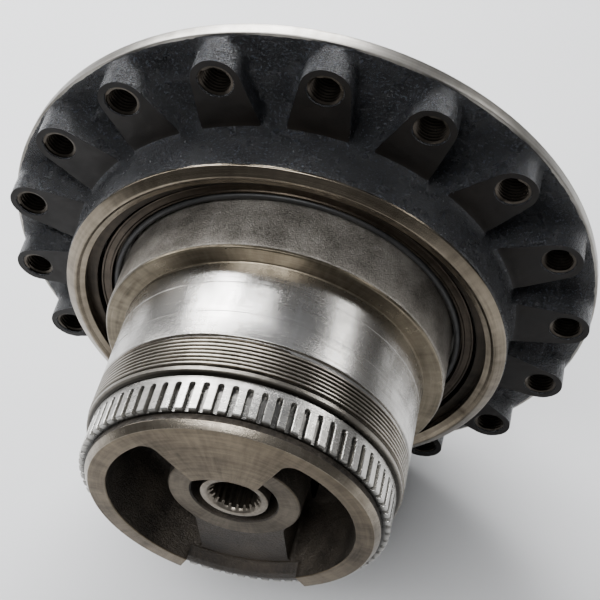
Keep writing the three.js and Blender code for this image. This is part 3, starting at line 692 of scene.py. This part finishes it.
lathe("spindle_barrel", "spindle", "spindle_iron", [
    (100, 158.2), (129.5, 158.2, 1), (129.5, 209.6, 1.2), (128.9, 210.6, 0.4), (110, 210.6), (100, 200),
], [BARREL_IRON], ["spindle"])
lathe("spindle_collar", "spindle", "spindle_iron", [
    (105, 210.2), (128.8, 210.2), (128.4, 212.4, 0.7), (127.2, COLLAR, 0.4), (114.6, COLLAR, 0.8),
    (114, 214), (105, 214),
], [COLLAR_METAL])
lathe("spindle_land", "spindle", "spindle_iron", [
    (100, 213), (LAND_R, 213), (LAND_R, 230.6), (LAND_R - 0.35, 230.8), (LAND_R - 0.35, 231.4),
    (LAND_R, 231.6), (LAND_R, 256.4), (LAND_R - 0.3, 256.6), (LAND_R - 0.3, 257.3), (LAND_R, 257.5),
    (LAND_R, 276.4, 0.5), (112, LAND_END, 0.3), (111.6, 279), (100, 279),
], [LAND])
lathe("spindle_journal", "spindle", "spindle_iron", [
    (68, 84), (93, 84, 1), (93, 99.6), (96, 99.6, 0.8), (96, 158.6), (104, 160), (104, 262), (31, 262),
    (26, 262), (26, 251.7), (20.5, 251.7), (20.5, 240), (48, 240, 6), (84, 200, 10), (84, 122),
    (78, 116), (68, 112),
], [CORE_IRON])


def nut_thread():
    """The thread for the frame's ring nut, with a plain band and a groove in front of it."""
    blunt = NUT_CREST_R - 0.12
    phases = [
        (0.0, NUT_ROOT_R), (0.16, NUT_ROOT_R), (0.40, blunt), (0.46, NUT_CREST_R), (0.74, NUT_CREST_R),
        (0.80, blunt),
    ]
    start, end = NUT_THREAD_START, NUT_THREAD_END
    front = [
        (NUT_ROOT_R, end), (113.2, end + 0.4), (113.2, 304.9), (112.7, 305.4), (109.3, 306.2),
        (109.3, 308.4), (100, 308.4), (100, start),
    ]
    points, faces = threaded(phases, NUT_PITCH, start, end, NUT_ROOT_R, front, ROUND)
    piece("spindle_thread", "spindle", "spindle_iron", points, faces, [THREAD_METAL], sharp=24)


def spline_ring(z, width, depth, top):
    """One station of the spline: the slot's half width and depth, and the radius of the teeth's tops."""
    pitch, chamfer = TURN / SPLINE_TEETH, 0.35
    angles, radii = [], []
    foot = max(width - 0.12 * depth, 0.02)
    wide = max(width, 0.05)
    slot = [
        (0.0, top - depth), (foot * 0.92, top - depth), (foot, top - depth * 0.94),
        (wide, top - min(chamfer, depth)), (wide + chamfer, top),
    ]
    for tooth in range(SPLINE_TEETH):
        centre = pitch * tooth
        for side, steps in ((-1, slot[::-1]), (1, slot[1:])):
            for across, radius in steps:
                angles.append(centre + side * across / SPLINE_TIP_R)
                radii.append(radius)
        angles.append(centre + pitch / 2)
        radii.append(top)
    return level_ring(radii, angles, z)


def spline():
    """The outer spline: 72 teeth whose slots have rounded rear ends and run out at the front."""
    half_slot = (1 - SPLINE_SHARE) * math.pi * SPLINE_TIP_R / SPLINE_TEETH
    tip, full = SPLINE_TIP_R, SPLINE_TIP_R - SPLINE_ROOT_R
    rings = [
        spline_ring(SPLINE_START, 0, 0, 101), spline_ring(SPLINE_START, 0, 0, tip - 0.5),
        spline_ring(SPLINE_START + 0.6, 0, 0, tip), spline_ring(SLOT_START, 0, 0, tip),
    ]
    bends = 6
    for k in range(1, bends + 1):
        bend = math.pi / 2 * k / bends
        z = SLOT_START + half_slot * (1 - math.cos(bend))
        rings.append(spline_ring(z, half_slot * math.sin(bend), full * min(1, 0.45 + 0.2 * k), tip))
    rings += [
        spline_ring(SPLINE_END - 0.6, half_slot, full, tip),
        spline_ring(SPLINE_END, half_slot + 0.2, full - 0.6, tip - 0.6),
        spline_ring(SPLINE_END, 0, 0, STEP_R - 1), spline_ring(SPLINE_END, 0, 0, 101),
    ]
    piece("spindle_spline", "spindle", "spindle_iron", *skin(rings), [SPLINE_METAL], sharp=28)


nut_thread()
spline()


# ---- Spindle nose: rim, lobes, boss and cast pockets -----------------


OUTER_FILLET, INNER_FILLET, LOW_OUTER_FILLET, LOW_INNER_FILLET = 8.5, 6, 4, 12  # corners of a pocket
LOBE_EDGE = math.pi / 2 - TOP_LOBE  # direction of the upper lobe's right-hand side
POCKET_DRAFT = math.tan(math.radians(2.2))


def arc(centre, radius, first, last, steps):
    """Points of an arc between two directions."""
    angles = np.linspace(first, last, steps)
    return np.stack([centre[0] + radius * np.cos(angles), centre[1] + radius * np.sin(angles)], 1)


def direction(point):
    return math.atan2(point[1], point[0])


def on_ray(radius, fillet, outward):
    """Centre of a fillet between a circle about the axis and the upper lobe's right-hand side."""
    reach = radius + fillet if outward else radius - fillet
    angle = LOBE_EDGE - math.asin(fillet / reach)
    return np.array([reach * math.cos(angle), reach * math.sin(angle)])


def beside_lower_lobe(reach, fillet):
    """Centre of a fillet against the lower lobe's right-hand side."""
    return np.array([LOWER_LOBE + fillet, -math.sqrt(reach**2 - (LOWER_LOBE + fillet) ** 2)])


def pocket_path():
    """Right-hand pocket, and for each point whether it lies on the boss."""
    side = LOBE_EDGE + math.pi / 2
    outer_top = on_ray(RIM_R, OUTER_FILLET, False)
    inner_top = on_ray(BOSS_R, INNER_FILLET, True)
    inner_low = beside_lower_lobe(BOSS_R + LOW_INNER_FILLET, LOW_INNER_FILLET)
    outer_low = beside_lower_lobe(RIM_R - LOW_OUTER_FILLET, LOW_OUTER_FILLET)
    parts = [
        (arc(outer_low, LOW_OUTER_FILLET, math.pi, direction(outer_low) + TURN, 8), 0),
        (arc((0, 0), RIM_R, direction(outer_low), direction(outer_top), 60), 0),
        (arc(outer_top, OUTER_FILLET, direction(outer_top), side, 10), 0),
        (arc(inner_top, INNER_FILLET, side, direction(inner_top) + math.pi, 8), 0),
        (arc((0, 0), BOSS_R, direction(inner_top), direction(inner_low), 30), 1),
        (arc(inner_low, LOW_INNER_FILLET, direction(inner_low) + math.pi, math.pi, 8), 1),
    ]
    path = np.concatenate([points for points, _ in parts])
    on_boss = np.concatenate([np.full(len(points), share) for points, share in parts])
    apart = np.linalg.norm(path - np.roll(path, 1, 0), axis=1) > 0.01
    return path[apart], on_boss[apart]


def recess_path():
    """Everything inside the rim that lies below the face: all but the top lobe."""
    corner = on_ray(RIM_R, OUTER_FILLET, False)
    mirrored = corner * [-1, 1]
    lead = 0.04
    inner = np.array([math.cos(LOBE_EDGE), math.sin(LOBE_EDGE)])
    start = arc((0, 0), COUNTERBORE_R, LOBE_EDGE + lead * 0.35, LOBE_EDGE + lead, 2)[0]
    turn_in = [inner * (COUNTERBORE_R + 2), inner * (COUNTERBORE_R + 0.6), start]
    turn_out = [p * [-1, 1] for p in turn_in[::-1]]
    return np.concatenate([
        arc(mirrored, OUTER_FILLET, math.pi / 2 - LOBE_EDGE, direction(mirrored), 10),
        arc((0, 0), RIM_R, direction(mirrored), direction(corner) + TURN, 150)[1:-1],
        arc(corner, OUTER_FILLET, direction(corner), LOBE_EDGE + math.pi / 2, 10),
        np.array(turn_in),
        arc((0, 0), COUNTERBORE_R, LOBE_EDGE + lead, math.pi - LOBE_EDGE - lead, 26),
        np.array(turn_out),
    ])


def grown(path, distance):
    """The outline moved outwards, by one distance or by one for each point."""
    ahead, back = np.roll(path, -1, 0) - path, path - np.roll(path, 1, 0)
    along = ahead / np.linalg.norm(ahead, axis=1)[:, None] + back / np.linalg.norm(back, axis=1)[:, None]
    along /= np.linalg.norm(along, axis=1)[:, None]
    outward = np.stack([along[:, 1], -along[:, 0]], 1)
    return path + outward * np.broadcast_to(distance, len(path))[:, None]


def prism(path, levels):
    """Cutter through an outline: levels are (z, distance grown)."""
    rings = [np.column_stack([grown(path, distance), np.full(len(path), z)]) for z, distance in levels]
    return capped(rings)


def lower_lobe_path():
    """Lower lobe's floor, which is left rough, a little below the machined boss."""
    spread, down = 0.62, -math.pi / 2
    inner_spread = spread * 1.35
    return np.concatenate([
        arc((0, 0), BOSS_R - 0.6, down + inner_spread, down - inner_spread, 30),
        arc((0, 0), RIM_R - 1.2, down - spread, down + spread, 30),
    ])


def nose_cutters():
    """What is taken out of the nose: recess, two cast pockets, bore, lower lobe's floor and the notch."""
    recess = prism(recess_path(), [
        (BOSS, -POCKET_DRAFT * 13), (341.4, -POCKET_DRAFT * 0.6), (NOSE + 0.05, 0.5), (346, 0.5),
    ])
    path, on_boss = pocket_path()
    clear = 0.05
    depths = [(282.0, 7.5), (282.6, 5.0), (284.0, 3.0), (286.5, 1.6), (292, 1.0), (327.6, 0)]
    levels = [(z, -POCKET_DRAFT * (NOSE - z) - clear - fillet) for z, fillet in depths]
    levels.append((328.4, on_boss * 0.3 - POCKET_DRAFT * 13.6 - clear))
    levels.append((329.02, on_boss * 1.2 - POCKET_DRAFT * 13 - clear))
    levels.append((346.0, on_boss * 1.2 - clear))
    right_points, pocket_faces = prism(path, levels)
    bore = turned([
        (0.0, 262), (RECESS_R, 262), (RECESS_R, BOSS - 1), (RECESS_R + 1, BOSS), (RECESS_R + 1, 347),
        (0.0, 347),
    ], 120)
    strap = rounded([
        (80, 346), (80, 329.3), (88, 329.3, 2.5), (93.5, 334.6, 3.5), (99, 336.2, 3.5), (105.5, 332.6),
        (113, 332.6), (113, 346),
    ])
    turns = np.linspace(-math.pi / 2 - NOTCH, -math.pi / 2 + NOTCH, 49)
    notch = capped([level_ring(strap[:, 0], turn, strap[:, 1]) for turn in turns])
    shapes = [
        recess, (right_points, pocket_faces), (right_points * [-1, 1, 1], pocket_faces), skin(bore),
        prism(lower_lobe_path(), [(LOBE, 0), (340, 0)]), notch,
    ]
    return [piece(f"nose_cutter_{i}", None, None, *shape, []) for i, shape in enumerate(shapes)]


def nose_look(face):
    """Which of the nose's materials a face has, from where it lies and which way it looks."""
    machined_face, pocket, strap, boss, chamfer = range(5)
    x, up, z = face.center.x * 1000, face.center.z * 1000, -face.center.y * 1000
    r, facing = math.hypot(x, up), -face.normal.y
    in_notch = abs(math.atan2(up, x) + math.pi / 2) < NOTCH * 1.02 and z < NOSE - 0.1 and r > 79
    if r > FACE_R - 0.7 and z > SPLINE_END and not in_notch:
        return chamfer if facing > 0.2 else pocket
    if z > NOSE - 0.7:
        return machined_face
    if in_notch and z > LOBE - 0.05:
        return strap
    if z > BOSS - 0.3 and r < BOSS_R + 0.2 and facing > 0.3:
        return boss
    return strap if z > BOSS - 1 and facing > 0.5 else pocket


def nose():
    """The spindle's nose: chamfered rim, upper and lower lobe, boss, cast pockets and the notch below."""
    outside = [
        (0.0, 268), (101.5, 268), (101.5, 300), (STEP_R, 300), (STEP_R, 337.3, 0.5), (FACE_R, NOSE, 0.5),
        (0.0, NOSE),
    ]
    body = lathe("spindle_nose", "spindle", "spindle_iron", outside, [FACE_METAL])
    cut(body, *nose_cutters())
    dress(body.data, [FACE_METAL, POCKET_IRON, STRAP_IRON, BOSS_METAL, CHAMFER_METAL], nose_look)
    shade(body.data, 32)


nose()


COUPLING_TOOTH = [  # across one tooth of the internal spline: (share of the pitch, share of the depth)
    (-0.5, 1), (-0.30, 1), (-0.25, 0.9), (-0.16, 0.1), (-0.12, 0), (0.12, 0), (0.16, 0.1), (0.25, 0.9),
    (0.30, 1),
]


def coupling():
    """Splined coupling: an internal spline with chamfered lead-ins, in a ground sleeve."""
    teeth = range(COUPLING_TEETH)
    pitch = TURN / COUPLING_TEETH
    angles = np.array([pitch * (tooth + across) for tooth in teeth for across, _ in COUPLING_TOOTH])
    short = np.array([1 - down for _ in teeth for _, down in COUPLING_TOOTH])
    height = COUPLING_MAJOR_R - COUPLING_MINOR_R

    def toothed(z, share):
        """share is 1 for full teeth, 0 for a plain circle at the major radius."""
        return level_ring(COUPLING_MAJOR_R - height * short * share, angles, z)

    plain = [
        (COUPLING_R, COUPLING_REAR), (COUPLING_R, 328.1), (COUPLING_R - 0.3, 328.7),
        (COUPLING_R - 1, BOSS), (20.4, BOSS), (19.6, 328.6), (18.6, 327.2),
    ]
    rings = [level_ring(r, angles, z) for r, z in plain]
    rings += [toothed(326.2, 0.35), toothed(324.6, 1), toothed(300, 1), toothed(COUPLING_REAR, 1)]
    points, faces = skin(rings)
    nodes = ["input_coupling"]
    piece("input_coupling_look", "input", "machined_steel", points, faces, [COUPLING_STEEL], nodes, 30)


coupling()

# ---- Ring gear, rear cover and fasteners -----------------------------


def ring_gear():
    """Plain ring outside, stub involute teeth inside."""
    pitch_r = RING_MODULE * RING_TEETH / 2
    base = pitch_r * math.cos(PRESSURE_ANGLE)

    def half_space(r):
        """Half the angle of the space between two teeth, at one radius."""
        here = math.acos(min(1, base / r))
        involute = math.tan(PRESSURE_ANGLE) - PRESSURE_ANGLE - math.tan(here) + here
        return math.pi / (2 * RING_TEETH) + involute + 0.12 / pitch_r

    flank = [pitch_r - 3.2, pitch_r - 1, pitch_r + 1.6, pitch_r + 4.2]
    angles, inner = [], []
    for tooth in range(RING_TEETH):
        for side, radii in ((-1, flank), (1, flank[::-1])):
            angles += [TURN * tooth / RING_TEETH + side * half_space(r) for r in radii]
            inner += radii
    stations = [
        (RING_R - 0.8, RING_REAR), (RING_R, RING_REAR + 0.8), (RING_R, RING_FRONT - 0.8),
        (RING_R - 0.8, RING_FRONT), (RING_RELIEF_R, RING_FRONT), (RING_RELIEF_R, RING_TEETH_TOP),
        (inner, RING_TEETH_TOP), (inner, RING_REAR),
    ]
    rings = [level_ring(r, angles, z) for r, z in stations]
    piece("ring_gear_look", "hub", "ring_gear_steel", *skin(rings), [RING_STEEL], ["ring_gear"], 30)


ring_gear()
cover = lathe("rear_cover_look", "hub", "hub_paint", [
    (0.0, 0.0), (20, 0.0), (22, 0.8, 1), (26, 0.8, 1), (28, 0.0, 1), (117, 0.0, 2.5), (123.6, 9.0, 3),
    (126, COVER_RIM, 1.5), (RING_R, COVER_RIM, 1.2), (RING_R, 20.0, 0.6), (117, 20.0), (117, 12.0, 3),
    (0.0, 12.0),
], [COVER_PAINT], ["rear_cover"], steps=5)


def hexagon_radius(angle, across_flats):
    """How far a hexagon's edge is from its middle, in each direction."""
    return across_flats / 2 / np.cos((angle + math.pi / 6) % (math.pi / 3) - math.pi / 6)


def bolt():
    """Hexagon head with a turned chamfer, on a washer, with its shank."""
    angles = even_turn(48)
    chamfer_r = 10.6
    hexagon = hexagon_radius(angles, 22.0)
    chamfer_z = 1.15 + np.maximum(hexagon - chamfer_r, 0) * 0.58
    head = [
        (9.6, 1.0), (np.minimum(hexagon, chamfer_r), 1.15), (hexagon, chamfer_z), (hexagon, 8.0),
        (10.4, 8.1), (10.4, 8.4),
    ]
    washer = [(12.2, 8.35), (12.6, 8.6), (12.6, 9.5), (12.2, 9.72)]
    shank = [(7.0, 8.2), (7.0, 121.4), (6.2, 122.0)]
    return gathered([capped([level_ring(r, angles, z) for r, z in part]) for part in (head, washer, shank)])


bolt_points, bolt_faces = bolt()
for i in range(BOLTS):
    name = f"cover_bolt_{i + 1}"
    points = spun(bolt_points + [BOLT_CIRCLE_R, 0, 0], TURN * i / BOLTS)
    piece(name + "_look", "hub", "bolt_steel", points, bolt_faces, [BOLT_STEEL], [name], 25)


def plug():
    """Flush screw plug with a hexagon socket and a raised collar."""
    angles = even_turn(48)
    socket = hexagon_radius(angles, 10.0)
    stations = [
        (socket * 0.96, 7.0), (socket, 1.0), (socket + 0.7, 0.35), (9.4, 0.3), (10.2, 0.5),
        (PLUG_R - 0.4, 0.55), (PLUG_R, 1.0), (PLUG_R, 11.6),
    ]
    return capped([level_ring(r, angles, z) for r, z in stations])


plug_points, plug_faces = plug()
plug_hole = np.array(turned([
    (0.0, -2), (PLUG_R + 0.9, -2), (PLUG_R + 0.1, 0.8), (PLUG_R + 0.1, 14), (0.0, 14),
], 48))
for name, degrees in (("fill_plug", 90), ("drain_plug_left", 210), ("drain_plug_right", 330)):
    centre = level_ring(PLUG_CIRCLE_R, math.radians(degrees), 0)
    piece(name + "_look", "hub", "bolt_steel", plug_points + centre, plug_faces, [BOLT_STEEL], [name], 25)
    cut(cover, piece("plug_hole_cutter", None, None, *skin(plug_hole + centre), []))
dress(cover.data, [COVER_PAINT], lambda face: 0)
shade(cover.data, 35)

# ---- Floor, lights and camera ----------------------------------------


LIT_POINT = (0, -0.17, 0)
DAYLIGHT = (0.97, 0.98, 1)
SKY = ((0.5, (0.24, 0.238, 0.235)), (0.95, (0.50, 0.52, 0.56)))  # 0.5 is the horizon, 1 straight up
SKY_STRENGTH = 0.55
LENS, SENSOR = 71.4, 36.0  # millimetres
CAMERA_PLACE = (0.1766, -0.7302, 0.7068)
CAMERA_RIGHT, CAMERA_UP = (0.97627, 0.2078, -0.06142), (-0.11908, 0.7513, 0.64916)


def stage_floor():
    """A plain pale floor, just below the flange."""
    mesh = bpy.data.meshes.new("floor")
    square = ((-1, -1), (1, -1), (1, 1), (-1, 1))
    corners = [(x * FLOOR_REACH, y * FLOOR_REACH, FLOOR_LEVEL) for x, y in square]
    mesh.from_pydata(corners, [], [(0, 1, 2, 3)])
    look = Look("pale_floor", 0.0)
    color = look.ramp(look.noise(2, 2), (0.3, 0.62), (0.7, 0.66))
    mesh.materials.append(look.finish(color, 0.6, look.bump(look.noise(60, 2), 0.0002)))
    floor = bpy.data.objects.new("floor", mesh)
    bpy.context.scene.collection.objects.link(floor)


def softbox(name, location, size, power, color):
    """A rectangular light in watts, aimed at the middle of the gearbox."""
    light = bpy.data.lights.new(name, "AREA")
    light.shape = "RECTANGLE"
    light.size, light.size_y = size
    light.energy = power
    light.color = color
    thing = bpy.data.objects.new(name, light)
    thing.location = location
    thing.rotation_euler = (Vector(LIT_POINT) - Vector(location)).to_track_quat("-Z", "Y").to_euler()
    bpy.context.scene.collection.objects.link(thing)


def studio():
    """A soft sky, grey at the horizon and paler overhead, and four windows."""
    world = bpy.data.worlds.new("studio")
    bpy.context.scene.world = world
    world.use_nodes = True
    nodes, links = world.node_tree.nodes, world.node_tree.links
    background = nodes["Background"]
    coordinates = nodes.new("ShaderNodeTexCoord")
    parts = nodes.new("ShaderNodeSeparateXYZ")
    ramp = nodes.new("ShaderNodeValToRGB")
    remap = nodes.new("ShaderNodeMapRange")
    links.new(coordinates.outputs["Generated"], parts.inputs[0])
    links.new(parts.outputs[2], remap.inputs["Value"])
    remap.inputs["From Min"].default_value = -1
    links.new(remap.outputs[0], ramp.inputs["Fac"])
    for element, (place, color) in zip(ramp.color_ramp.elements, SKY):
        element.position = place
        element.color = (*color, 1)
    links.new(ramp.outputs[0], background.inputs["Color"])
    background.inputs["Strength"].default_value = SKY_STRENGTH
    softbox("back_window", (-0.7, 1.45, 1.5), (1.9, 1.0), 150, DAYLIGHT)
    softbox("left_window", (-1.9, 0.2, 0.9), (0.7, 1.0), 20, DAYLIGHT)
    softbox("front_top", (-0.3, -1.1, 1.75), (1.2, 0.7), 40, DAYLIGHT)
    softbox("right_window", (1.7, 0.9, 1.2), (0.5, 0.5), 8, (1, 1, 1))


def camera():
    """The camera, a little above the nose and to its right, rolled about its own line of sight."""
    data = bpy.data.cameras.new("camera")
    data.lens, data.sensor_width, data.sensor_fit = LENS, SENSOR, "HORIZONTAL"
    data.clip_start = 0.01
    thing = bpy.data.objects.new("camera", data)
    right, up = Vector(CAMERA_RIGHT), Vector(CAMERA_UP)
    matrix = Matrix((right, up, right.cross(up))).transposed().to_4x4()
    matrix.translation = Vector(CAMERA_PLACE)
    thing.matrix_world = matrix
    bpy.context.scene.collection.objects.link(thing)
    bpy.context.scene.camera = thing


stage_floor()
studio()
camera()
